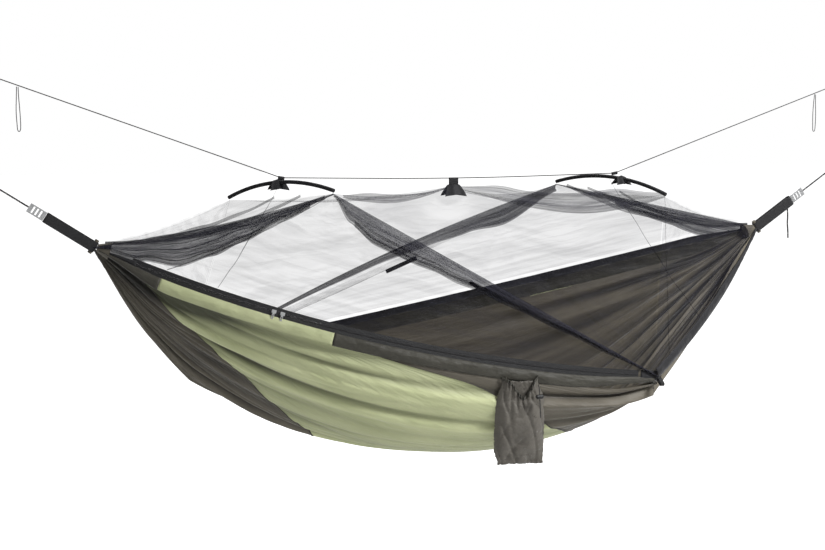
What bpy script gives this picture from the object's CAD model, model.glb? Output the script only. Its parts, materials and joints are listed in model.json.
import bpy
import bmesh
import json
import math
import random
from bisect import bisect
from mathutils import Matrix, Vector, noise

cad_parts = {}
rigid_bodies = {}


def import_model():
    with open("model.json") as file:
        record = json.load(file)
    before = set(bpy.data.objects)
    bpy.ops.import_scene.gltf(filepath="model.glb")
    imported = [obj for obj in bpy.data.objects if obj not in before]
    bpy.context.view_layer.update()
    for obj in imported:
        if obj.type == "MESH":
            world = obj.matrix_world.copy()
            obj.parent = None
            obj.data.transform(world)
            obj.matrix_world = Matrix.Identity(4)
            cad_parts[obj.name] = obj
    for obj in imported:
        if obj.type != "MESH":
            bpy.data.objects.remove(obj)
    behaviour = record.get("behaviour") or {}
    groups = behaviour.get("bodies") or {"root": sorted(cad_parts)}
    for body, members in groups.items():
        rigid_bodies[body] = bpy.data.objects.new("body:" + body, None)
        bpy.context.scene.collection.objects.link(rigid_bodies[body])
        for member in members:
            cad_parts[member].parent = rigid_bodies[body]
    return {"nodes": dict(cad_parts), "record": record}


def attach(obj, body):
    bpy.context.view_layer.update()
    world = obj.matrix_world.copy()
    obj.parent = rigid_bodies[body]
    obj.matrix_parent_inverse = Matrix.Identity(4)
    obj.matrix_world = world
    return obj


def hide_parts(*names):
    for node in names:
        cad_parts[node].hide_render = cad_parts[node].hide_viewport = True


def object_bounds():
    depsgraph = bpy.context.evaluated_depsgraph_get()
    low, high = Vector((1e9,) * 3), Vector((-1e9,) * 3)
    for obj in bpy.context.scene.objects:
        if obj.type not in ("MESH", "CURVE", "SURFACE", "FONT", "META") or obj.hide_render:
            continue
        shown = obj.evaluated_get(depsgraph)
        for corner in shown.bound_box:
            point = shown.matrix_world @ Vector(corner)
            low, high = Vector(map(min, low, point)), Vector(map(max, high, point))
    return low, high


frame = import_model()
cadLow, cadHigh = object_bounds()
nodes = frame["nodes"]
print("frame loaded,", len(nodes), "nodes")

# Key points of the hammock, about the middle of the line between the two gathers, in metres.
hammock = {
    "middle": Vector((1.72, 0.0, -0.276)),
    "half": 1.31,
    "nearCorner": Vector((0.640, -0.450, -0.485)),
    "farCorner": Vector((-0.960, 0.500, -0.520)),
}
leftGather = Vector((-hammock["half"], 0, 0))
rightGather = Vector((hammock["half"], 0, 0))


# A point about the hammock's middle, in the row's frame.
def row(point):
    return hammock["middle"] + Vector(point)


def lerp(a, b, share):
    return a + (b - a) * share


def smooth(share):
    share = min(1.0, max(0.0, share))
    return share * share * (3 - 2 * share)


# A value read off a short list of (share, value) pairs, eased between them.
def profile(pairs, share):
    for (a, low), (b, high) in zip(pairs, pairs[1:]):
        if share <= b:
            return lerp(low, high, smooth((share - a) / (b - a)))
    return pairs[-1][1]


# Materials.
def newMaterial(name):
    material = bpy.data.materials.new(name)
    material.use_nodes = True
    return material, material.node_tree, material.node_tree.nodes["Principled BSDF"]


def addNode(tree, kind, **settings):
    made = tree.nodes.new(kind)
    for key, value in settings.items():
        if key in made.inputs:
            made.inputs[key].default_value = value
        else:
            setattr(made, key, value)
    return made


def addRamp(tree, source, stops):
    ramp = addNode(tree, "ShaderNodeValToRGB")
    while len(ramp.color_ramp.elements) < len(stops):
        ramp.color_ramp.elements.new(0.5)
    for element, (place, colour) in zip(ramp.color_ramp.elements, stops):
        element.position = place
        element.color = (*colour, 1) if len(colour) == 3 else colour
    tree.links.new(source, ramp.inputs["Fac"])
    return ramp


def stretchedNoise(tree, coords, stretch, scale, detail=3.0):
    mapping = addNode(tree, "ShaderNodeMapping")
    mapping.inputs["Scale"].default_value = stretch
    tree.links.new(coords, mapping.inputs["Vector"])
    made = addNode(tree, "ShaderNodeTexNoise", Scale=scale, Detail=detail)
    tree.links.new(mapping.outputs["Vector"], made.inputs["Vector"])
    return made


# -1..1 to 0..1.
def addedHalf(tree, source):
    half = addNode(tree, "ShaderNodeMapRange")
    half.inputs["From Min"].default_value = -1.0
    tree.links.new(source, half.inputs["Value"])
    return half.outputs["Result"]


# Thin nylon: fine weave, soft crinkles and slightly uneven dye.
def clothMaterial(name, dark, light, weave, crumple, roughness=0.55, sheen=0.35, uv=True, worn=False):
    material, tree, shader = newMaterial(name)
    coords = addNode(tree, "ShaderNodeTexCoord").outputs["UV" if uv else "Object"]
    uneven = stretchedNoise(tree, coords, (1.0, 2.6, 1.0), 4.0, 5.0)
    ramp = addRamp(tree, uneven.outputs["Fac"], [(0.3, dark), (0.72, light)])
    colourOut = ramp.outputs["Color"]
    if worn:  # fold runs from -1 in the bottom of a fold to 1 on a ridge
        fold = addNode(tree, "ShaderNodeAttribute", attribute_name="fold")
        shade = addRamp(tree, addedHalf(tree, fold.outputs["Fac"]),
                        [(0.04, (0.13,) * 3), (0.45, (0.84,) * 3), (0.75, (1.14,) * 3)])
        mix = addNode(tree, "ShaderNodeMix", data_type="RGBA", blend_type="MULTIPLY")
        mix.inputs["Factor"].default_value = 1.0
        tree.links.new(colourOut, mix.inputs["A"])
        tree.links.new(shade.outputs["Color"], mix.inputs["B"])
        colourOut = mix.outputs["Result"]
    tree.links.new(colourOut, shader.inputs["Base Color"])
    across = addNode(tree, "ShaderNodeTexWave", Scale=weave, Distortion=0.6)
    along = addNode(tree, "ShaderNodeTexWave", Scale=weave, Distortion=0.6, bands_direction="Y")
    for wave in (across, along):
        tree.links.new(coords, wave.inputs["Vector"])
    threads = addNode(tree, "ShaderNodeMath", operation="MULTIPLY")
    tree.links.new(across.outputs["Fac"], threads.inputs[0])
    tree.links.new(along.outputs["Fac"], threads.inputs[1])
    weaveBump = addNode(tree, "ShaderNodeBump", Strength=0.12, Distance=0.0006)
    tree.links.new(threads.outputs["Value"], weaveBump.inputs["Height"])
    crinkle = stretchedNoise(tree, coords, (1.0, 2.2, 1.0), 16.0, 6.0)
    crinkleBump = addNode(tree, "ShaderNodeBump", Strength=crumple, Distance=0.02)
    tree.links.new(crinkle.outputs["Fac"], crinkleBump.inputs["Height"])
    tree.links.new(weaveBump.outputs["Normal"], crinkleBump.inputs["Normal"])
    tree.links.new(crinkleBump.outputs["Normal"], shader.inputs["Normal"])
    shader.inputs["Roughness"].default_value = roughness
    shader.inputs["Sheen Weight"].default_value = sheen
    shader.inputs["Sheen Roughness"].default_value = 0.4
    return material


# Fine mosquito mesh: mostly see-through, denser along soft creases.
def netMaterial(name, thin, thick, colour, streaks=7.0):
    material, tree, shader = newMaterial(name)
    coords = addNode(tree, "ShaderNodeTexCoord").outputs["UV"]
    crease = stretchedNoise(tree, coords, (1.0, streaks, 1.0), 3.0, 6.0)
    crease.inputs["Distortion"].default_value = 0.8
    ramp = addRamp(tree, crease.outputs["Fac"], [(0.35, (thin,) * 3), (0.5, (lerp(thin, thick, 0.3),) * 3),
                                                 (0.8, (thick,) * 3)])
    tree.links.new(ramp.outputs["Color"], shader.inputs["Alpha"])
    shader.inputs["Base Color"].default_value = (*colour, 1)
    shader.inputs["Roughness"].default_value = 0.8
    shader.inputs["Specular IOR Level"].default_value = 0.2
    return material


# Woven tape or braided cord.
def webbingMaterial(name, colour, scale, roughness=0.75, flecks=None):
    material, tree, shader = newMaterial(name)
    coords = addNode(tree, "ShaderNodeTexCoord").outputs["Object"]
    ribs = addNode(tree, "ShaderNodeTexWave", Scale=scale, Distortion=0.4, bands_direction="DIAGONAL")
    cross = stretchedNoise(tree, coords, (1, 1, 1), scale * 0.8, 2.0)
    tree.links.new(coords, ribs.inputs["Vector"])
    darker, lighter = tuple(c * 0.75 for c in colour), tuple(c * 1.5 for c in colour)
    tint = addRamp(tree, cross.outputs["Fac"], [(0.35, darker), (0.7, lighter)])
    colourOut = tint.outputs["Color"]
    if flecks:
        spots = addNode(tree, "ShaderNodeTexVoronoi", Scale=160.0)
        tree.links.new(coords, spots.inputs["Vector"])
        mask = addRamp(tree, spots.outputs["Distance"], [(0.2, (1, 1, 1)), (0.32, (0, 0, 0))])
        mix = addNode(tree, "ShaderNodeMix", data_type="RGBA")
        tree.links.new(mask.outputs["Color"], mix.inputs["Factor"])
        tree.links.new(colourOut, mix.inputs["A"])
        mix.inputs["B"].default_value = (*flecks, 1)
        colourOut = mix.outputs["Result"]
    tree.links.new(colourOut, shader.inputs["Base Color"])
    bump = addNode(tree, "ShaderNodeBump", Strength=0.6, Distance=0.0008)
    tree.links.new(ribs.outputs["Fac"], bump.inputs["Height"])
    tree.links.new(bump.outputs["Normal"], shader.inputs["Normal"])
    shader.inputs["Roughness"].default_value = roughness
    shader.inputs["Sheen Weight"].default_value = 0.2
    return material


# Plated or brushed metal with faint scratches.
def metalMaterial(name, colour, roughness):
    material, tree, shader = newMaterial(name)
    coords = addNode(tree, "ShaderNodeTexCoord").outputs["Object"]
    scratch = stretchedNoise(tree, coords, (1, 1, 12), 90.0, 4.0)
    ramp = addRamp(tree, scratch.outputs["Fac"], [(0.3, (roughness * 0.8,) * 3), (0.7, (roughness * 1.4,) * 3)])
    tree.links.new(ramp.outputs["Color"], shader.inputs["Roughness"])
    bump = addNode(tree, "ShaderNodeBump", Strength=0.08, Distance=0.0005)
    tree.links.new(scratch.outputs["Fac"], bump.inputs["Height"])
    tree.links.new(bump.outputs["Normal"], shader.inputs["Normal"])
    shader.inputs["Base Color"].default_value = (*colour, 1)
    shader.inputs["Metallic"].default_value = 1.0
    return material


finishes = {
    "olive_cloth": clothMaterial("olive nylon", (0.124, 0.110, 0.084), (0.180, 0.161, 0.124), 700, 0.35,
                                 worn=True),
    "light_green_cloth": clothMaterial("light green nylon", (0.60, 0.645, 0.355), (0.74, 0.78, 0.46), 700, 0.4,
                                       worn=True),
    "inner": clothMaterial("inner olive nylon", (0.145, 0.127, 0.094), (0.205, 0.180, 0.135), 700, 0.35,
                           worn=True),
    "sack": clothMaterial("sack nylon", (0.118, 0.107, 0.090), (0.168, 0.155, 0.132), 700, 0.8),
    "hem": clothMaterial("hem cloth", (0.050, 0.047, 0.036), (0.074, 0.070, 0.054), 700, 0.5),
    "bug_net": netMaterial("mosquito net", 0.15, 0.36, (0.035, 0.035, 0.052)),
    "slackNet": netMaterial("slack mosquito net", 0.42, 0.90, (0.035, 0.035, 0.050), 34.0),
    "foldedNet": netMaterial("folded mosquito net", 0.48, 0.97, (0.030, 0.030, 0.042), 34.0),
    "netCrease": netMaterial("tight net crease", 0.50, 0.80, (0.012, 0.012, 0.016)),
    "black_trim": clothMaterial("black binding", (0.012, 0.012, 0.014), (0.022, 0.022, 0.026), 500, 0.5, 0.7,
                                0.2, False),
    "black_webbing": webbingMaterial("black webbing", (0.014, 0.014, 0.016), 520),
    "zip_black": webbingMaterial("zip tape", (0.010, 0.010, 0.012), 640, 0.6),
    "ridge_cord": webbingMaterial("ridge cord", (0.016, 0.016, 0.016), 600, 0.7),
    "rope": webbingMaterial("flecked rope", (0.016, 0.016, 0.017), 320, 0.8, (0.55, 0.55, 0.52)),
    "zip_metal": metalMaterial("plated zip metal", (0.92, 0.93, 0.94), 0.38),
    "alloy": metalMaterial("satin alloy", (0.88, 0.89, 0.90), 0.36),
    "rod_tube": metalMaterial("rod tube", (0.42, 0.43, 0.45), 0.35),
}
plastic, plasticTree, plasticShader = newMaterial("black plastic")
grain = stretchedNoise(plasticTree, addNode(plasticTree, "ShaderNodeTexCoord").outputs["Object"], (1, 1, 1),
                       900.0, 2.0)
grainBump = addNode(plasticTree, "ShaderNodeBump", Strength=0.15, Distance=0.0003)
plasticTree.links.new(grain.outputs["Fac"], grainBump.inputs["Height"])
plasticTree.links.new(grainBump.outputs["Normal"], plasticShader.inputs["Normal"])
plasticShader.inputs["Base Color"].default_value = (0.016, 0.016, 0.017, 1)
plasticShader.inputs["Roughness"].default_value = 0.42
finishes["black_plastic"] = plastic

for part in frame["record"]["subparts"]:
    node = nodes[part["node"]]
    node.data.materials.clear()
    node.data.materials.append(finishes[part["material_slot"]])
print("materials made,", len(finishes))


# Pieces from bmesh.
# Write the mesh into a finished piece that rides on a body.
def keepPiece(name, bm, material, body="frame", slotName=None, replaced=(), weld=None, thick=0.0):
    if weld:
        bmesh.ops.remove_doubles(bm, verts=bm.verts, dist=weld)
    for face in bm.faces:
        face.smooth = True
    mesh = bpy.data.meshes.new(name)
    bm.to_mesh(mesh)
    bm.free()
    piece = bpy.data.objects.new(name, mesh)
    bpy.context.scene.collection.objects.link(piece)
    mesh.materials.append(finishes[material])
    if thick:
        wall = piece.modifiers.new("thickness", "SOLIDIFY")
        wall.thickness = thick
        wall.offset = 0
    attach(piece, body)
    slotName or material
    if replaced:
        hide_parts(*replaced)
    return piece


# A grid whose points are moved to shape(share along, share across).
def addSheet(bm, along, across, shape, uvSize=(1.0, 1.0), fold=None):
    layer = bm.loops.layers.uv.verify()
    made = bmesh.ops.create_grid(bm, x_segments=along, y_segments=across, size=0.5)["verts"]
    spots = {}
    for vert in made:
        u, w = vert.co.x + 0.5, vert.co.y + 0.5
        spots[vert] = (u, w)
        vert.co = shape(u, w)
        if fold:
            vert[bm.verts.layers.float["fold"]] = fold(u, w)
    for vert in made:
        for loop in vert.link_loops:
            u, w = spots[vert]
            loop[layer].uv = (u * uvSize[0], w * uvSize[1])
    return made


# Rims: arcs of the cloth's edge, as the model draws them.
def makeRim(start, end, sag, down, side):
    start, end = Vector(start), Vector(end)
    middle = (start + end) / 2 + Vector(sag)
    a, b = middle - start, end - start
    normal = a.cross(b)
    reach = normal.cross(a) * b.length_squared + b.cross(normal) * a.length_squared
    centre = start + reach / (2 * normal.length_squared)
    axis = normal.normalized()
    first = (start - centre).normalized()
    second = axis.cross(first)
    sweep = math.atan2((end - centre).dot(second), (end - centre).dot(first)) % math.tau
    radial = (middle - centre).normalized()
    toward = Vector((Vector(down).dot(radial), Vector(down).dot(axis))).normalized()
    facing = -toward.y * radial.y + toward.x * axis.y
    turn = 1 if facing * side > 0 else -1
    rim = {"centre": centre, "axis": axis, "first": first, "second": second, "sweep": sweep,
           "radius": (start - centre).length, "down": toward, "out": Vector((-toward.y * turn,
                                                                             toward.x * turn))}
    samples = sorted((rimPoint(rim, k / 300).x, k / 300) for k in range(301))
    rim["xs"], rim["shares"] = [s[0] for s in samples], [s[1] for s in samples]
    return rim


def rimPoint(rim, share, down=0.0, out=0.0):
    turn = rim["sweep"] * share
    radial = rim["first"] * math.cos(turn) + rim["second"] * math.sin(turn)
    offset = rim["down"] * down + rim["out"] * out
    return rim["centre"] + radial * (rim["radius"] + offset.x) + rim["axis"] * offset.y


# Share of the rim at that X.
def rimShare(rim, x):
    k = min(max(bisect(rim["xs"], x), 1), len(rim["xs"]) - 1)
    low, high = rim["xs"][k - 1], rim["xs"][k]
    return lerp(rim["shares"][k - 1], rim["shares"][k], (x - low) / (high - low))


rims = {
    "nearLong": makeRim(leftGather, hammock["nearCorner"], (0, -0.080, -0.088), (0, -0.16, -0.987), -1),
    "nearShort": makeRim(hammock["nearCorner"], rightGather, (0.020, -0.020, -0.018), (0, 0.05, -0.999), -1),
    "farLong": makeRim(rightGather, hammock["farCorner"], (0, 0.008, -0.014), (0, 0.16, -0.987), 1),
    "farShort": makeRim(hammock["farCorner"], leftGather, (-0.008, 0.024, -0.026), (0, -0.05, -0.999), 1),
}


# Camera.
camera = {"place": Vector((-1.518, -4.522, 0.473)), "yaw": 16.82, "tilt": 7.44, "lens": 55.4}
cameraData = bpy.data.cameras.new("camera")
cameraData.lens = camera["lens"]
cameraData.clip_end = 200
cameraObject = bpy.data.objects.new("camera", cameraData)
cameraObject.location = row(camera["place"])
cameraObject.rotation_euler = (math.radians(90 - camera["tilt"]), 0, -math.radians(camera["yaw"]))
bpy.context.scene.collection.objects.link(cameraObject)
bpy.context.scene.camera = cameraObject


# Cords: the ridge line, its hanging loops, the two ropes and the sack's drawcord.
# One smooth spline through the route; straight adds points beside a corner that is pulled tight.
def cordCurve(name, points, radius, material, body, replaced, straight=()):
    route = []
    for k, point in enumerate(points):
        if k in straight:
            for other in (points[k - 1], points[k + 1]):
                step = (other - point).normalized() * radius * 12
                if other == points[k - 1]:
                    route += [point + step, point]
                else:
                    route += [point + step]
        else:
            route.append(point)
    curve = bpy.data.curves.new(name, "CURVE")
    curve.dimensions = "3D"
    curve.bevel_depth = radius
    curve.bevel_resolution = 4
    curve.resolution_u = 12
    curve.use_fill_caps = True
    spline = curve.splines.new("NURBS")
    spline.points.add(len(route) - 1)
    for spot, point in zip(spline.points, route):
        spot.co = (*row(point), 1)
    spline.order_u = 3
    spline.use_endpoint_u = True
    piece = bpy.data.objects.new(name, curve)
    bpy.context.scene.collection.objects.link(piece)
    curve.materials.append(finishes[material])
    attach(piece, body)
    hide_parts(*replaced)
    return piece


ridge = {"radius": 0.00175, "length": 3.541, "eyeLeft": Vector((-1.720, 0, 0.618)),
         "eyeRight": Vector((1.720, 0, 0.594)),
         "loops": [Vector((-0.645, 0, 0.228)), Vector((0.010, 0, 0.214)),
                   Vector((0.672, 0, 0.226))], "eyeGap": 0.01505}
ridgeStart = ridge["eyeLeft"] + (ridge["loops"][0] - ridge["eyeLeft"]).normalized() * ridge["eyeGap"]
ridgeEnd = ridge["eyeRight"] + (ridge["loops"][2] - ridge["eyeRight"]).normalized() * ridge["eyeGap"]
ridgeLine = cordCurve("ridgeLine", [ridgeStart, *ridge["loops"], ridgeEnd], ridge["radius"], "ridge_cord",
                      "frame",
                      ["ridge_line"], straight=(1, 3))
row(ridgeStart)

tail = {"radius": 0.0014, "length": 0.305, "drop": 0.150, "gap": 0.005,
        "hooks": {"left": Vector((-1.54142, 0, 0.54851)), "right": Vector((1.56107, 0, 0.53349))}}
for side, hook in tail["hooks"].items():
    gap, drop = tail["gap"], tail["drop"]
    route = [(-gap * 0.5, 0, 0), (-gap * 0.9, 0.002, -drop * 0.24), (-gap * 1.5, 0, -drop * 0.55),
             (-gap * 1.1, 0, -drop * 0.86), (-gap * 0.9, 0, -drop), (gap * 0.9, 0, -drop),
             (gap * 1.3, 0, -drop * 0.86), (gap, -0.002, -drop * 0.5),
             (gap * 0.5, 0, -drop * 0.2), (gap * 0.5, 0, -0.001)]
    hangingLoop = cordCurve(f"ridgeTail{side.capitalize()}", [hook + Vector(p) for p in route], tail["radius"],
                            "ridge_cord", f"ridge_tail_{side}", [f"ridge_tail_{side}"])
    row(hook + Vector(route[0]))

rope = {"radius": 0.003, "length": 0.224, "eyeGap": 0.0163,
        "from": Vector((1.52049, 0, 0.14198)), "eye": Vector((1.720, 0, 0.276))}
for side, sign in (("left", -1), ("right", 1)):
    start = Vector((rope["from"].x * sign, 0, rope["from"].z))
    eye = Vector((rope["eye"].x * sign, 0, rope["eye"].z))
    end = eye + (start - eye).normalized() * rope["eyeGap"]
    taut = cordCurve(f"suspensionRope{side.capitalize()}", [lerp(start, end, k / 4) for k in range(5)],
                     rope["radius"],
                     "rope", "frame", [f"suspension_rope_{side}"])
    row(start)
ropeTail = {"top": Vector((1.45161, 0, 0.0690)), "length": 0.1205,
            "route": [(0, 0, 0), (0.004, 0, -0.026), (0.002, 0, -0.058), (0.007, 0, -0.092),
                      (0.008, 0, -0.120)]}
looseEnd = cordCurve("ropeTailRight", [ropeTail["top"] + Vector(p) for p in ropeTail["route"]], rope["radius"],
                     "rope",
                     "rope_tail", ["rope_tail_right"])
row(ropeTail["top"])
drawcord = {"radius": 0.0016, "length": 0.1203,
            "route": [(0.173595, -0.459170, -0.487698), (0.173895, -0.468170, -0.504218),
                      (0.174595, -0.470170, -0.537258),
                      (0.176595, -0.469670, -0.571478), (0.179595, -0.468170, -0.605698)]}
sackCord = cordCurve("sackDrawcord", [Vector(p) for p in drawcord["route"]], drawcord["radius"], "ridge_cord",
                     "sack",
                     ["sack_drawcord"])
row(drawcord["route"][0])
print("cords laid")


# Bed: two layers of cloth between the rims.
bed = {"depth": 0.820, "edgeDown": 0.0586, "shortDown": 0.012, "bulge": 0.055, "stand": 0.020, "slope": 0.2,
       "slant": 0.4,
       "layerGap": 0.009, "end": 1.300,
       "bottom": [(-1, 0), (-0.916, 0.098), (-0.84, 0.244), (-0.763, 0.415), (-0.687, 0.634), (-0.611, 0.78),
                  (-0.534, 0.829), (-0.382, 0.921), (-0.229, 0.976), (0, 1), (0.153, 0.963), (0.305, 0.878),
                  (0.382, 0.817), (0.458, 0.726), (0.534, 0.622), (0.611, 0.512), (0.687, 0.402),
                  (0.763, 0.305), (0.84, 0.207), (0.916, 0.098), (1, 0)],
       "rightSeam": [(0, -0.50), (0.015, -0.14), (0.03, -0.02), (0.09, 0.16), (0.2, 0.29), (0.3, 0.37),
                     (0.48, 0.486),
                     (0.61, 0.557), (0.775, 0.734), (0.885, 0.965), (1, 1.24)]}
bed["leftSeam"] = [(0, -1.26), (0.06, -1.16), (0.115, -1.04), (0.225, -0.80), (0.39, -0.58), (0.52, -0.486),
                   (0.7, -0.37),
                   (0.8, -0.29), (0.91, -0.16), (0.97, 0.02), (0.985, 0.14), (1, 0.50)]


# Straight-line reading of a table, averaged over a little of it on both sides.
def table(pairs, at, soft=0.0):
    def read(place):
        for (a, low), (b, high) in zip(pairs, pairs[1:]):
            if place <= b:
                return lerp(low, high, max(0.0, place - a) / (b - a))
        return pairs[-1][1]
    return sum(read(at + soft * k) for k in (-1, -0.5, 0, 0.5, 1)) / 5 if soft else read(at)


# Hems and edges draw together near a gather.
def narrowing(x):
    return 0.12 + 0.88 * smooth((hammock["half"] - abs(x)) / 0.28)


# A fold: rounded on both sides of a sharp line where the noise crosses nought.
def valley(value, sharp):
    return -math.exp(-abs(value) * sharp)


# Long folds that start at a gather and die out along the cloth.
folding = {"left": 30, "right": 26, "depth": 0.021, "width": 0.0105, "spread": 0.015, "seed": 11}
chance = random.Random(folding["seed"])
longFolds = []
for sign, count in ((-1, folding["left"]), (1, folding["right"])):
    for k in range(count):
        longFolds.append({"sign": sign, "v": (k + chance.uniform(0.2, 0.8)) / count,
                          "drift": chance.uniform(-0.05, 0.05),
                          "reach": chance.choice((0.45, 0.7, 0.95, 1.3, 1.7)), "deep": chance.uniform(0.5, 1.35)})
longFolds.sort(key=lambda fold: fold["v"])


# Folds that run from gather to gather, closer together near the ends; outwards is positive.
def creases(x, v):
    ends = hammock["half"] - abs(x)
    depth = 0.014 * noise.noise(Vector((v * 4.6, x * 0.7, 3.1))) * smooth(ends / 0.5)
    for fold in longFolds:
        away = hammock["half"] - x * fold["sign"]
        if away > fold["reach"]:
            continue
        girth = 0.12 + 1.5 * smooth(away / 1.1)
        wide = folding["width"] + folding["spread"] * away
        gap = (v - fold["v"] - fold["drift"] * away * math.sin(math.pi * v)) * girth / wide
        if abs(gap) > 4.5:
            continue
        fading = smooth((away - fold["reach"] * 0.35) / (fold["reach"] * 0.65))
        strength = fold["deep"] * smooth(away / 0.22) * (1 - fading)
        side = gap - 1.5
        dip = math.exp(-gap * gap * (0.9 if gap > 0 else 2.2))
        depth += folding["depth"] * strength * (0.75 * math.exp(-side * side * 0.55) - dip)
    fine = valley(noise.noise(Vector((v * 24.0, x * 0.8, 21.7))), 6)
    tight = valley(noise.noise(Vector((v * 46.0, x * 1.2, 33.3))), 5)
    depth += 0.011 * (fine + 0.4) * smooth(ends / 0.12) * (1 - smooth((ends - 0.45) / 0.75) * 0.8)
    depth += 0.008 * (tight + 0.4) * smooth(ends / 0.05) * (1 - smooth((ends - 0.25) / 0.6))
    return depth * (0.2 + 0.8 * smooth(min(v, 1 - v) / 0.04))


# The bed's two edges at X = x.
def bedEdges(x):
    nearCorner, farCorner = hammock["nearCorner"], hammock["farCorner"]
    near = rims["nearLong"] if x <= nearCorner.x else rims["nearShort"]
    far = rims["farShort"] if x <= farCorner.x else rims["farLong"]
    nearDown = lerp(bed["edgeDown"], bed["shortDown"], smooth((x - nearCorner.x) / 0.30 + 0.65)) * narrowing(x)
    farDown = lerp(bed["edgeDown"], bed["shortDown"], smooth((farCorner.x - x) / 0.30 + 0.65)) * narrowing(x)
    return rimPoint(near, rimShare(near, x), nearDown), rimPoint(far, rimShare(far, x), farDown)


# The four points that shape the cloth's curve across the hammock at X = x.
def bedCurve(x):
    nearEdge, farEdge = bedEdges(x)
    bottom = -bed["depth"] * table(bed["bottom"], x / hammock["half"], 0.05)
    stand = bed["stand"] * narrowing(x) * (1 - 0.8 * smooth((x - 0.45) / 0.2))
    low = min((8 * bottom - nearEdge.z - farEdge.z) / 6, nearEdge.z - stand, farEdge.z - stand)
    gathered = smooth((abs(x) / hammock["half"] - 0.27) / 0.38)
    slant = bed["slant"] * gathered * (farEdge.y - nearEdge.y)
    bulge = bed["bulge"] * min(1.0,
                               (hammock["half"] - abs(x)) / (hammock["half"] * 0.25) + 0.15) * (1 - gathered)
    nearBulge, farBulge = [min(bulge, bed["slope"] * (edge.z - low)) for edge in (nearEdge, farEdge)]
    return [(nearEdge.y, nearEdge.z), (nearEdge.y - nearBulge + slant, low),
            (farEdge.y + farBulge - slant, low), (farEdge.y, farEdge.z)]


# The rims turn a corner and the cloth below them doesn't, so the inner two points are eased along the hammock.
curveStep, easing = 0.01, 0.11
curveSpots = [-1.31 + curveStep * k for k in range(263)]
rawCurves = [bedCurve(max(-1.305, min(1.305, x))) for x in curveSpots]
bedCurves = []
for k, curve in enumerate(rawCurves):
    room = min(easing, 0.6 * (hammock["half"] - abs(curveSpots[k])) + 0.001)
    reach = int(2 * room / curveStep)
    parts = [(rawCurves[k + j], math.exp(-0.5 * (j * curveStep / room) ** 2))
             for j in range(-reach, reach + 1) if 0 <= k + j < len(rawCurves)]
    total = sum(weight for c, weight in parts)
    eased = [tuple(sum(c[n][axis] * weight for c, weight in parts) / total for axis in (0, 1)) for n in (1, 2)]
    bedCurves.append([curve[0], *eased, curve[3]])


# Point of the bed at X = x; v runs from the near rim, 0, round the bottom to the far rim, 1.
def bedPoint(x, v, inward=0.0, folds=1.0):
    place = (x - curveSpots[0]) / curveStep
    k = max(0, min(int(place), len(bedCurves) - 2))
    between = place - k
    nearEdge, farEdge = bedEdges(x)
    inner = [[lerp(bedCurves[k][n][axis], bedCurves[k + 1][n][axis], between) for n in (1, 2)]
             for axis in (0, 1)]
    ys = (nearEdge.y, *inner[0], farEdge.y)
    zs = (nearEdge.z, *inner[1], farEdge.z)
    weights = ((1 - v) ** 3, 3 * v * (1 - v) ** 2, 3 * v * v * (1 - v), v ** 3)
    slopes = (-3 * (1 - v) ** 2, 3 * (1 - v) * (1 - 3 * v), 3 * v * (2 - 3 * v), 3 * v * v)
    y, z = [sum(w * c for w, c in zip(weights, cs)) for cs in (ys, zs)]
    outward = Vector((0, sum(s * c for s, c in zip(slopes, zs)),
                      -sum(s * c for s, c in zip(slopes, ys)))).normalized()
    return row((x, y, z)) + outward * (creases(x, v) * folds - inward * narrowing(x))


# A stretch of the bed between two seams, each a table of X against v.
def bedPanel(name, left, right, inward, material, slotName, replaced, along, across):
    bm = bmesh.new()
    edges = [(table(left, k / across, 0.01), table(right, k / across, 0.01)) for k in range(across + 1)]

    def shape(u, v):
        low, high = edges[round(v * across)]
        return bedPoint(lerp(low, high, u), v, inward)
    bm.verts.layers.float.new("fold")

    def fold(u, v):
        x = lerp(*edges[round(v * across)], u)
        crowded = 0.42 * smooth((abs(x) - 0.62) / 0.45)  # cloth bunched at a gather lies in its own shade
        return max(-1.0, min(1.0, (-1 if inward else 1) * creases(x, v) / 0.017 - crowded))
    addSheet(bm, along, across, shape, (1.6, 1.5), fold)
    return keepPiece(name, bm, material, slotName=slotName, replaced=replaced)


ends = [[(0, x), (1, x)] for x in (-bed["end"], bed["end"])]
panels = [
    bedPanel("outerPanelLeft", ends[0], bed["leftSeam"], 0, "olive_cloth", "olive_cloth", ["outer_panel_left"],
             180, 170),
    bedPanel("outerPanelGreen", bed["leftSeam"], bed["rightSeam"], 0, "light_green_cloth", "light_green_cloth",
             ["outer_panel_green"], 160, 170),
    bedPanel("outerPanelRight", bed["rightSeam"], ends[1], 0, "olive_cloth", "olive_cloth",
             ["outer_panel_right"], 180, 170),
    bedPanel("innerLayer", *ends, bed["layerGap"], "inner", "olive_cloth", ["inner_bed_layer"], 330, 150),
]
for panel in panels:
    print(panel.name, "area", round(sum(p.area for p in panel.data.polygons), 3))

# Flat-felled seams where the panels meet.
seam = {"width": 0.007, "thick": 0.002}
for name, places in (("panelSeamLeft", bed["leftSeam"]), ("panelSeamRight", bed["rightSeam"])):
    bm = bmesh.new()

    def shape(u, w, places=places):
        return bedPoint(table(places, u, 0.01) + (w - 0.5) * seam["width"], u, -0.0012)
    addSheet(bm, 170, 3, shape, (1.6, seam["width"]))
    keepPiece(name, bm, "hem", slotName="olive_cloth", thick=seam["thick"])
print("bed sewn")


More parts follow.
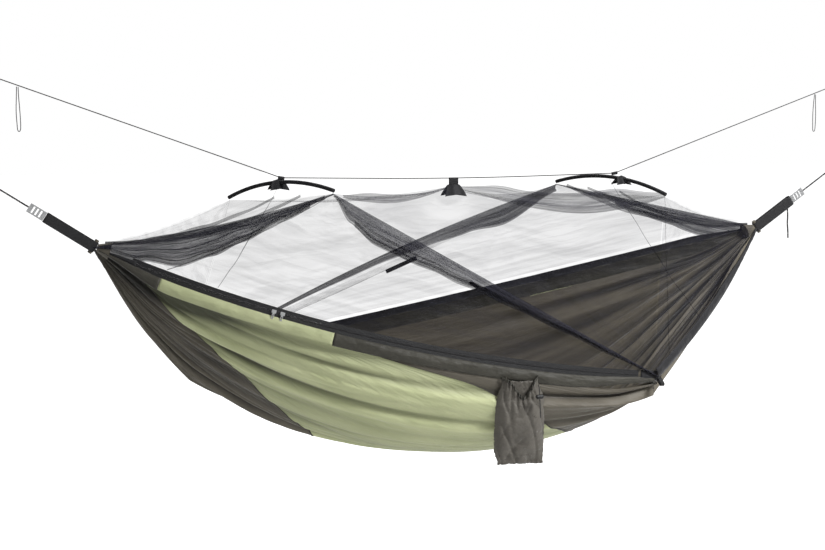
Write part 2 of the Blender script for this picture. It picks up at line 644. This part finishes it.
# Hems, bands and zip.
# A folded edge that follows a rim, a little puffed, with puckers from its stitching.
def rimStrip(name, rimName, first, last, top, low, puff, material, replaced=(), ripple=0.003, slotName=None,
             thick=0.0016, out=0.0):
    rim = rims[rimName]

    def shape(u, w):
        share = lerp(first, last, u)
        x = rimPoint(rim, share).x
        draw = narrowing(x) * (1 - (0.60 * smooth((share - 0.84) / 0.16) if low > 0.05 else 0))
        small = noise.noise(Vector((share * 46, w * 1.5, low * 100))) * ripple
        pucker = small + noise.noise(Vector((share * 13, w, 5.0 + top * 50))) * ripple
        bow = puff * math.sin(math.pi * w) ** 0.8
        return row(rimPoint(rim, share, lerp(top, low, w) * draw,
                            out + bow + pucker * math.sin(math.pi * min(w + 0.1, 1))))
    bm = bmesh.new()
    addSheet(bm, int(rim["radius"] * rim["sweep"] * abs(last - first) / 0.008), 10, shape,
             (rim["radius"] * rim["sweep"] * abs(last - first), low - top))
    return keepPiece(name, bm, material, slotName=slotName, replaced=replaced, thick=thick)


rimStrip("hemNearLong", "nearLong", 0.43, 0.995, 0.0168, 0.0610, 0.006, "hem", ["bed_hem_near_long"],
         slotName="olive_cloth")
rimStrip("hemNearGreen", "nearLong", 0.126, 0.429, 0.0168, 0.0610, 0.006, "light_green_cloth")
rimStrip("hemNearEnd", "nearLong", 0.012, 0.126, 0.0168, 0.0640, 0.007, "hem", slotName="olive_cloth")
rimStrip("hemFarLong", "farLong", 0.012, 0.995, 0.002, 0.0610, 0.004, "hem", ["bed_hem_far_long"],
         slotName="olive_cloth")
rimStrip("netHemFarLong", "farLong", 0.012, 0.995, -0.026, 0.004, 0.003, "black_trim", ["net_hem_far_long"])
rimStrip("bandNearShort", "nearShort", 0.0, 0.985, -0.029, 0.014, 0.006, "black_trim", ["rim_band_near_short"],
         ripple=0.003)
rimStrip("bandFarShort", "farShort", 0.0, 0.985, -0.029, 0.014, 0.006, "black_trim", ["rim_band_far_short"],
         ripple=0.003)
rimStrip("zipStart", "nearLong", 0.004, 0.078, -0.0165, 0.0160, 0.004, "black_trim", ripple=0.002)
rimStrip("zipEnd", "nearLong", 0.969, 1.0, -0.0170, 0.0180, 0.004, "black_trim", ripple=0.002)
print("hems sewn")

# Spreader bars: an arc that bows up.
bar = {"chord": 0.532, "rise": 0.043, "height": 0.169, "under": -0.0102,
       "left": (-0.655, 34.3, 5), "right": (0.652, 27.1, -3)}
barRadius = ((bar["chord"] / 2) ** 2 + bar["rise"] ** 2) / (2 * bar["rise"])
barHalf = math.asin(bar["chord"] / 2 / barRadius)


# Share runs from -1 at the near end to 1 at the far end.
def barPoint(side, share, lift=0.0):
    along, yaw, tilt = bar[side]
    top = Vector((along, 0, bar["height"] + bar["rise"]))
    flat = Vector((-math.sin(math.radians(yaw)), math.cos(math.radians(yaw)), 0))
    lean = Matrix.Rotation(math.radians(tilt), 3, Vector((-flat.y, flat.x, 0)))
    up = lean @ Vector((0, 0, 1))
    turn = share * barHalf
    return top - up * barRadius + (lean @ flat * math.sin(turn) + up * math.cos(turn)) * (barRadius + lift)


leftNear, leftFar = [barPoint("left", s, bar["under"]) for s in (-1, 1)]
rightNear, rightFar = [barPoint("right", s, bar["under"]) for s in (-1, 1)]
apex = Vector((0, 0, 0.186))


# Net.
# A slack edge between two held points.
def sagLine(a, b, sag):
    return lambda u: lerp(a, b, u) + Vector((0, 0, -sag * 4 * u * (1 - u)))


def alongRim(name, first, last, down):
    return lambda u: rimPoint(rims[name], lerp(first, last, u), down)


# Lines one after another, as one line.
def joined(*lines):
    def line(u):
        k = min(int(u * len(lines)), len(lines) - 1)
        return lines[k](u * len(lines) - k)
    return line


# Net stretched from a lower line to an upper line or point, slack in between.
def netPatch(bm, low, high, along, across, sag=0.02, ripple=0.006, seed=0.0, uv=(1.5, 0.8)):
    high = high if callable(high) else (lambda u, held=high: held)

    def shape(u, w):
        a, b = low(u), high(u)
        point = lerp(a, b, w)
        slack = 4 * w * (1 - w)
        inward = Vector((0, -point.y, -0.25)).normalized()
        broad = noise.noise(Vector((u * 9 + seed, w * 1.6, seed))) * ripple
        wave = broad + ripple * 0.5 * noise.noise(Vector((u * 26, w * 2.5, seed + 4)))
        return row(point + inward * (sag * slack + wave * slack ** 0.5))
    addSheet(bm, along, across, shape, uv)


topSag = 0.022
bm = bmesh.new()
netPatch(bm, alongRim("nearLong", 0.02, 0.985, -0.0176), leftNear, 120, 60, 0.030, 0.010, 1.0)
netPatch(bm, lambda u: hammock["nearCorner"],
         joined(sagLine(leftNear, apex, topSag), sagLine(apex, rightNear, 0.045)), 90, 60, 0.035, 0.010, 2.0)
netPatch(bm, alongRim("nearShort", 0.0, 0.97, -0.027), rightNear, 70, 60, 0.012, 0.008, 3.0)
keepPiece("netNear", bm, "bug_net", replaced=["net_near_left", "net_near_middle", "net_near_right"],
          weld=0.0005)
bm = bmesh.new()
netPatch(bm, alongRim("farLong", 0.02, 0.985, -0.039), rightFar, 120, 60, 0.015, 0.008, 4.0)
netPatch(bm, lambda u: hammock["farCorner"],
         joined(sagLine(rightFar, apex, 0.035), sagLine(apex, leftFar, topSag)), 90, 60, 0.030, 0.010, 5.0)
netPatch(bm, alongRim("farShort", 0.0, 0.97, -0.027), leftFar, 70, 60, 0.012, 0.008, 6.0)
keepPiece("netFar", bm, "bug_net", replaced=["net_far_left", "net_far_middle", "net_far_right"], weld=0.0005)
bm = bmesh.new()
leftTip, rightTip = leftGather + Vector((0.04, 0, 0.01)), rightGather + Vector((-0.04, 0, 0.01))
netPatch(bm, sagLine(leftTip, leftNear, 0.02), sagLine(leftTip, leftFar, 0.02), 70, 30, 0.006, 0.006, 7.0,
         (0.8, 0.4))
netPatch(bm, sagLine(leftNear, apex, topSag), sagLine(leftFar, apex, topSag), 70, 30, 0.010, 0.006, 8.0,
         (0.8, 0.4))
netPatch(bm, sagLine(rightNear, apex, 0.045), sagLine(rightFar, apex, 0.035), 70, 30, 0.010, 0.006, 9.0,
         (0.8, 0.4))
netPatch(bm, sagLine(rightTip, rightNear, 0.02), sagLine(rightTip, rightFar, 0.02), 70, 30, 0.006, 0.006, 10.0,
         (0.8, 0.4))
keepPiece("netTop", bm, "bug_net", weld=0.0005,
                   replaced=["net_top_left", "net_top_left_end", "net_top_right", "net_top_right_end"])

# Slack folds of net that hang along the lines from the bars to the corners and gathers.
foldBands = {
    "foldNearLong": {"from": leftNear, "to": hammock["nearCorner"], "lift": 0.0, "side": -1, "pleats": 2.5,
                     "cloth": "slackNet",
                     "drop": [(0, 0.010), (0.05, 0.070), (0.12, 0.095), (0.2, 0.090), (0.33, 0.070),
                              (0.46, 0.055), (0.6, 0.038), (0.8, 0.022), (1, 0.006)]},
    "foldFarLong": {"from": rightFar, "to": hammock["farCorner"], "lift": 0.045, "side": 1, "pleats": 2.0,
                    "cloth": "foldedNet",
                    "drop": [(0, 0.03), (0.14, 0.085), (0.24, 0.060), (0.36, 0.045), (0.5, 0.030),
                             (0.75, 0.016), (1, 0.006)]},
    "foldLeftEnd": {"from": leftGather, "to": leftNear, "lift": -0.020, "side": -1, "pleats": 3.0,
                    "cloth": "foldedNet",
                    "drop": [(0, 0.01), (0.2, 0.075), (0.36, 0.112), (0.49, 0.10), (0.62, 0.075), (0.79, 0.04),
                             (1, 0.006)]},
    "foldRightEnd": {"from": rightGather, "to": rightFar, "lift": 0.0, "side": 1, "pleats": 3.0,
                     "cloth": "slackNet",
                     "drop": [(0, 0.02), (0.1, 0.080), (0.28, 0.082), (0.43, 0.062), (0.6, 0.045),
                              (0.77, 0.022), (1, 0.004)]},
}
for name, fold in foldBands.items():
    bm = bmesh.new()
    for layer in range(2):
        def shape(u, w, layer=layer, fold=fold):
            upper = lerp(fold["from"], fold["to"], u) + Vector((0, 0, fold["lift"] * math.sin(math.pi * u)))
            drop = profile(fold["drop"], u) * (1.0 - 0.12 * layer)
            wobble = noise.noise(Vector((u * 6, layer * 5.0, 2.0)))
            phase = math.tau * (fold["pleats"] * w + 0.35 * wobble + 0.4 * layer)
            across = w + 0.085 * math.sin(phase) * math.sin(math.pi * w)
            depth = 0.10 * drop * math.cos(phase) + 0.004 * layer
            return row(upper + Vector((0, fold["side"] * (depth + 0.012 * math.sin(math.pi * w)),
                                       -drop * across)))
        addSheet(bm, 140, 36, shape, (1.3, 0.16))
    keepPiece(name, bm, fold["cloth"], slotName="bug_net")

# The net between the right bar and the middle hanger hangs in a slack swag with a dark lower edge.
swags = {
    "swagRight": {"route": [apex, Vector((0.16, 0.02, 0.140)), Vector((0.34, 0.02, 0.095)),
                            Vector((0.52, -0.04, 0.075)),
                            Vector((0.68, -0.12, 0.100)), rightNear],
                  "height": [(0, 0.004), (0.3, 0.060), (0.7, 0.085), (1, 0.02)]},
    "swagLeft": {"route": [leftNear + Vector((0.045, 0.040, -0.018)), Vector((-0.40, -0.16, 0.150)),
                           Vector((-0.26, -0.10, 0.135)), Vector((-0.12, -0.03, 0.150)), apex],
                 "height": [(0, 0.01), (0.4, 0.035), (1, 0.004)]},
}


def alongRoute(route, u):
    place = u * (len(route) - 1)
    k = min(int(place), len(route) - 2)
    before, after = route[max(k - 1, 0)], route[min(k + 2, len(route) - 1)]
    t = place - k
    a, b = route[k], route[k + 1]
    square, cube = 2 * before - 5 * a + 4 * b - after, 3 * a - before - 3 * b + after
    return 0.5 * (2 * a + (b - before) * t + square * t * t + cube * t ** 3)


for name, swag in swags.items():
    bm = bmesh.new()

    def shape(u, w, swag=swag):
        edge = alongRoute(swag["route"], u)
        tall = profile(swag["height"], u)
        ripple = 0.006 * math.sin(w * 9 + u * 5) + 0.005 * noise.noise(Vector((u * 7, w * 3, 1.0)))
        return row(edge + Vector((0, ripple, tall * w)))
    addSheet(bm, 110, 16, shape, (0.9, 0.1))
    keepPiece(name, bm, "slackNet", slotName="bug_net")

# Seams and tight creases of the net, and gathered edges along the bottom of the folds.
leftMiddle, rightMiddle = [barPoint(side, 0.0, bar["under"]) for side in ("left", "right")]
tightLines = {
    "netSeams": [(leftFar, hammock["farCorner"], 0.005, 0.02),
                 (rightNear, rimPoint(rims["nearShort"], 0.10, -0.03), 0.005, 0.01),
                 (leftMiddle, rimPoint(rims["nearLong"], 0.22, -0.02), 0.006, 0.015),
                 (leftNear, rimPoint(rims["nearLong"], 0.13, -0.02), 0.006, 0.02),
                 (rightMiddle, rimPoint(rims["nearShort"], 0.35, -0.03), 0.005, 0.015)],
    "netCreases": [(leftTip, lerp(leftNear, leftFar, 0.3), 0.016, 0.05),
                   (leftTip, lerp(leftNear, leftFar, 0.55), 0.014, 0.04),
                   (leftTip, leftNear + Vector((-0.03, 0.0, -0.012)), 0.022, 0.035),
                   (rightTip, lerp(rightFar, rightNear, 0.3), 0.016, 0.03),
                   (rightTip, lerp(rightFar, rightNear, 0.1), 0.022, 0.05),
                   (rightTip, lerp(rightFar, rightNear, 0.6), 0.014, 0.05)],
}
for name, lines in tightLines.items():
    bm = bmesh.new()
    for k, (a, b, width, sag) in enumerate(lines):
        def shape(u, w, k=k, a=a, b=b, width=width, sag=sag):
            wave = noise.noise(Vector((u * 5, k * 3.0, 1.0)))
            taper = 0.35 + 0.65 * math.sin(math.pi * (0.15 + 0.7 * u)) + 0.25 * wave
            point = lerp(a, b, u) - Vector((0, 0, sag * 4 * u * (1 - u) - 0.012 * wave * math.sin(math.pi * u)))
            return row(point + Vector((0, 0.003 * math.sin(3 * w), (w - 0.5) * width * taper)))
        addSheet(bm, 80, 3, shape, (1.0, 0.02))
    keepPiece(name, bm, "netCrease", slotName="bug_net")

edges = {"foldNearLong": (0.06, 1.0), "foldLeftEnd": (0.05, 0.9), "foldRightEnd": (0.02, 0.7)}
for name, (first, last) in edges.items():
    fold = foldBands[name]
    bm = bmesh.new()

    def shape(u, w, fold=fold, first=first, last=last):
        u = lerp(first, last, u)
        upper = lerp(fold["from"], fold["to"], u) + Vector((0, 0, fold["lift"] * math.sin(math.pi * u)))
        drop = profile(fold["drop"], u)
        wave = 0.004 * noise.noise(Vector((u * 12, 3.0, 1.0)))
        return row(upper + Vector((0, fold["side"] * (0.012 + wave),
                                   wave - drop + (w - 0.2) * min(0.024, drop))))
    addSheet(bm, 120, 4, shape, (1.0, 0.03))
    keepPiece(name + "Edge", bm, "netCrease", slotName="bug_net")

# Dark patches that hang over the net below the hangers.
patches = {"left": (barPoint("left", 0.0, 0.012), 0.070, 0.034),
           "middle": (apex + Vector((0.01, 0, 0.012)), 0.084, 0.042),
           "right": (barPoint("right", -0.2, 0.012), 0.060, 0.030)}
for side, (top, wide, tall) in patches.items():
    bm = bmesh.new()

    def shape(u, w, top=top, wide=wide, tall=tall):
        fall = abs(w - 0.5) * 2
        pinch = 0.55 + 0.45 * fall + 0.05 * noise.noise(Vector((u * 6, w * 4, 2.0)))
        fold = 0.003 * math.sin(u * 11) * fall
        return row(top + Vector(((u - 0.5) * wide * pinch, (w - 0.5) * 0.055 + fold,
                                 -tall * fall ** 1.3 - 0.006 * abs(u - 0.5) * 2)))
    addSheet(bm, 24, 24, shape, (0.1, 0.1))
    keepPiece("hangerPatch" + side.capitalize(), bm, "black_trim", thick=0.0012,
              replaced=["net_patches"] if side == "middle" else ())
print("net hung")


# Stuff sack: a flat sewn bag with a ruched mouth, hanging from the zip rim.
sack = {"hook": Vector((0.12313, -0.40301, -0.47170)), "across": Vector((0.98880, -0.14924, 0)), "half": 0.092,
        "tall": 0.315,
        "belly": 0.034, "mouthDip": 0.070, "channel": 0.016}
sackBack = Vector((0.14924, 0.98880, 0))


# Side -1 to 1, down 0 to 1; front is 1 for the outer sheet, 0 for the one against the hammock.
def sackPoint(side, down, front):
    dip = sack["mouthDip"] * front * math.exp(-((side - 0.18) / 0.60) ** 2) * (1 - side ** 4)
    dip += 0.010 * (1 - front)
    height = lerp(dip, sack["tall"] - 0.010 * (side + 1) * (1 - side) * 0.3, down)
    corner = smooth((down - 0.80) / 0.2)
    width = sack["half"] * (0.68 + 0.32 * smooth(down / 0.30))
    width *= (1 - 0.16 * corner * (side < 0)) * (1 - 0.03 * math.sin(down * 7))
    puff = (1 - abs(side) ** 2.6) ** 0.8 * math.sin(math.pi * min(1.0, down * 0.86 + 0.14)) ** 0.55
    ruche = math.exp(-(down / 0.16) ** 2)
    gather = 0.0045 * ruche * math.sin(side * 34 + 2 * math.sin(side * 9)) * (1 - side ** 4)
    long = valley(noise.noise(Vector((side * 2.3 - down * 1.9, down * 0.9 + 0.4 * side, 4.0 + 3 * front))), 9)
    cross = valley(noise.noise(Vector((side * 1.1 + down * 3.4, side * 0.9 - down * 1.2, 8.0 + front))), 9)
    tuck = valley((side * 0.8 + 0.1) + (down - 0.72) * 1.6,
                  10) * smooth((down - 0.5) / 0.15) * (1 - smooth((down - 0.92) / 0.08))
    crumple = 0.0085 * (long + 0.3) + 0.005 * (cross + 0.3) + 0.011 * tuck * front
    crumple *= (1 - abs(side) ** 6) * smooth(down / 0.1)
    depth = sack["belly"] * puff * lerp(0.12, 0.92, front) + (crumple + gather) * lerp(-0.5, 1, front)
    depth = max(0.0, depth) + 0.004
    if not front:
        depth = min(depth, 0.007)
    sideways = side * width + 0.004 * math.sin(down * 5 + side)
    return sack["hook"] + sack["across"] * sideways - sackBack * depth - Vector((0, 0, height))


bm = bmesh.new()
for front in (1, 0):
    addSheet(bm, 90, 130, lambda u, w, front=front: row(sackPoint(2 * u - 1, w, front)), (0.2, 0.33))
keepPiece("stuffSack", bm, "sack", body="sack", slotName="olive_cloth", replaced=["stuff_sack"], weld=0.0042,
          thick=0.0012)
bm = bmesh.new()


def channel(u, w):
    point = sackPoint(2 * u - 1, 0.0, 1)
    turn = w * math.tau
    ruche = 1 + 0.28 * math.sin(u * 110 + 3 * math.sin(u * 23)) + 0.2 * noise.noise(Vector((u * 30, 2, 3)))
    return row(point + sackBack * -math.cos(turn) * 0.0042 * ruche + Vector((0, 0,
                                                                             math.sin(turn) * 0.0075 * ruche)))


addSheet(bm, 200, 12, channel, (0.25, 0.03))
keepPiece("sackChannel", bm, "hem", body="sack", slotName="olive_cloth", weld=0.0002)
print("sack sewn")

# Lights, floor and backdrop.
studio = {"ambient": 0.20, "seenWorld": 1.0, "seenFloor": 1.0, "lookAt": (0, 0, -0.3), "floorBelow": 0.42,
          "floorSize": 60.0,
          "floorColour": (0.92, 0.92, 0.92, 1), "floorRoughness": 0.9,
          "lights": {"key": {"place": (2.6, -2.9, 2.9), "power": 210, "size": 1.3},
                     "fill": {"place": (-2.2, -3.8, 1.2), "power": 4, "size": 2.6},
                     "rim": {"place": (0.8, 3.2, 2.6), "power": 60, "size": 2.2}}}
scene = bpy.context.scene
world = bpy.data.worlds.new("studio")
world.use_nodes = True
backdrop = world.node_tree.nodes["Background"]
backdrop.inputs["Color"].default_value = (1, 1, 1, 1)
seen = addNode(world.node_tree, "ShaderNodeLightPath")
strength = addNode(world.node_tree, "ShaderNodeMapRange")
strength.inputs["To Min"].default_value = studio["ambient"]
strength.inputs["To Max"].default_value = studio["seenWorld"]
world.node_tree.links.new(seen.outputs["Is Camera Ray"], strength.inputs["Value"])
world.node_tree.links.new(strength.outputs["Result"], backdrop.inputs["Strength"])
scene.world = world
scene.view_settings.view_transform = "Standard"
bm = bmesh.new()
bmesh.ops.create_grid(bm, x_segments=1, y_segments=1, size=studio["floorSize"] / 2,
                      matrix=Matrix.Translation((hammock["middle"].x, 0, cadLow.z - studio["floorBelow"])))
floorMesh = bpy.data.meshes.new("floor")
bm.to_mesh(floorMesh)
bm.free()
floorObject = bpy.data.objects.new("floor", floorMesh)
scene.collection.objects.link(floorObject)
floorMaterial, floorTree, floorShader = newMaterial("pale floor")
floorShader.inputs["Base Color"].default_value = studio["floorColour"]
floorShader.inputs["Roughness"].default_value = studio["floorRoughness"]
floorShader.inputs["Emission Color"].default_value = (1, 1, 1, 1)
floorGlow = addNode(floorTree, "ShaderNodeMapRange")
floorGlow.inputs["To Max"].default_value = studio["seenFloor"]
floorTree.links.new(addNode(floorTree, "ShaderNodeLightPath").outputs["Is Camera Ray"],
                    floorGlow.inputs["Value"])
floorTree.links.new(floorGlow.outputs["Result"], floorShader.inputs["Emission Strength"])
floorMesh.materials.append(floorMaterial)
for name, lamp in studio["lights"].items():
    data = bpy.data.lights.new(name, "AREA")
    data.energy = lamp["power"]
    data.size = lamp["size"]
    light = bpy.data.objects.new(name, data)
    light.location = row(lamp["place"])
    light.rotation_euler = (row(studio["lookAt"]) - light.location).to_track_quat("-Z", "Y").to_euler()
    scene.collection.objects.link(light)
print("lights and floor set")

# What each cloth was cut to, as (width, length) and the area of a cut that isn't a rectangle.
cuts = {
    "outerPanelLeft": ((1.50, 0.95), 0.85, "hung"), "outerPanelGreen": ((1.50, 1.25), 1.38, "hung"),
    "outerPanelRight": ((1.50, 0.75), 0.66, "hung"), "innerLayer": ((1.50, 2.95), 2.80, "hung"),
    "hemNearLong": ((0.046, 1.13), None, "stretched"), "hemFarLong": ((0.060, 2.32), None, "stretched"),
    "netHemFarLong": ((0.031, 2.32), None, "stretched"), "bandNearShort": ((0.044, 0.93), None, "stretched"),
    "bandFarShort": ((0.040, 0.66), None, "stretched"), "netNear": ((0.80, 2.60), 1.25, "stretched"),
    "netFar": ((0.80, 2.60), 1.25, "stretched"), "netTop": ((0.55, 2.50), 0.62, "stretched"),
    "foldNearLong": ((0.16, 1.35), None, "hung"), "foldFarLong": ((0.12, 1.60), None, "hung"),
    "foldLeftEnd": ((0.20, 0.90), None, "hung"), "foldRightEnd": ((0.16, 0.90), None, "hung"),
    "swagRight": ((0.085, 0.72), None, "hung"), "swagLeft": ((0.040, 0.58), None, "hung"),
    "stuffSack": ((0.33, 0.38), None, "hung"),
}
partsOfCloth = {
    "outerPanelGreen": ["panelSeamLeft", "panelSeamRight"], "hemNearLong": ["zipStart", "zipEnd", "hemNearGreen", "hemNearEnd"],
    "netNear": ["netSeams"],
    "netTop": ["netCreases", "hangerPatchLeft", "hangerPatchMiddle",
               "hangerPatchRight"], "foldNearLong": ["foldNearLongEdge"],
    "foldLeftEnd": ["foldLeftEndEdge"], "foldRightEnd": ["foldRightEndEdge"], "stuffSack": ["sackChannel"],
}
for name, (flat, area, held) in cuts.items():
    [bpy.data.objects[n] for n in partsOfCloth.get(name, [])]
print("cloth declared,", len(cuts), "sheets")
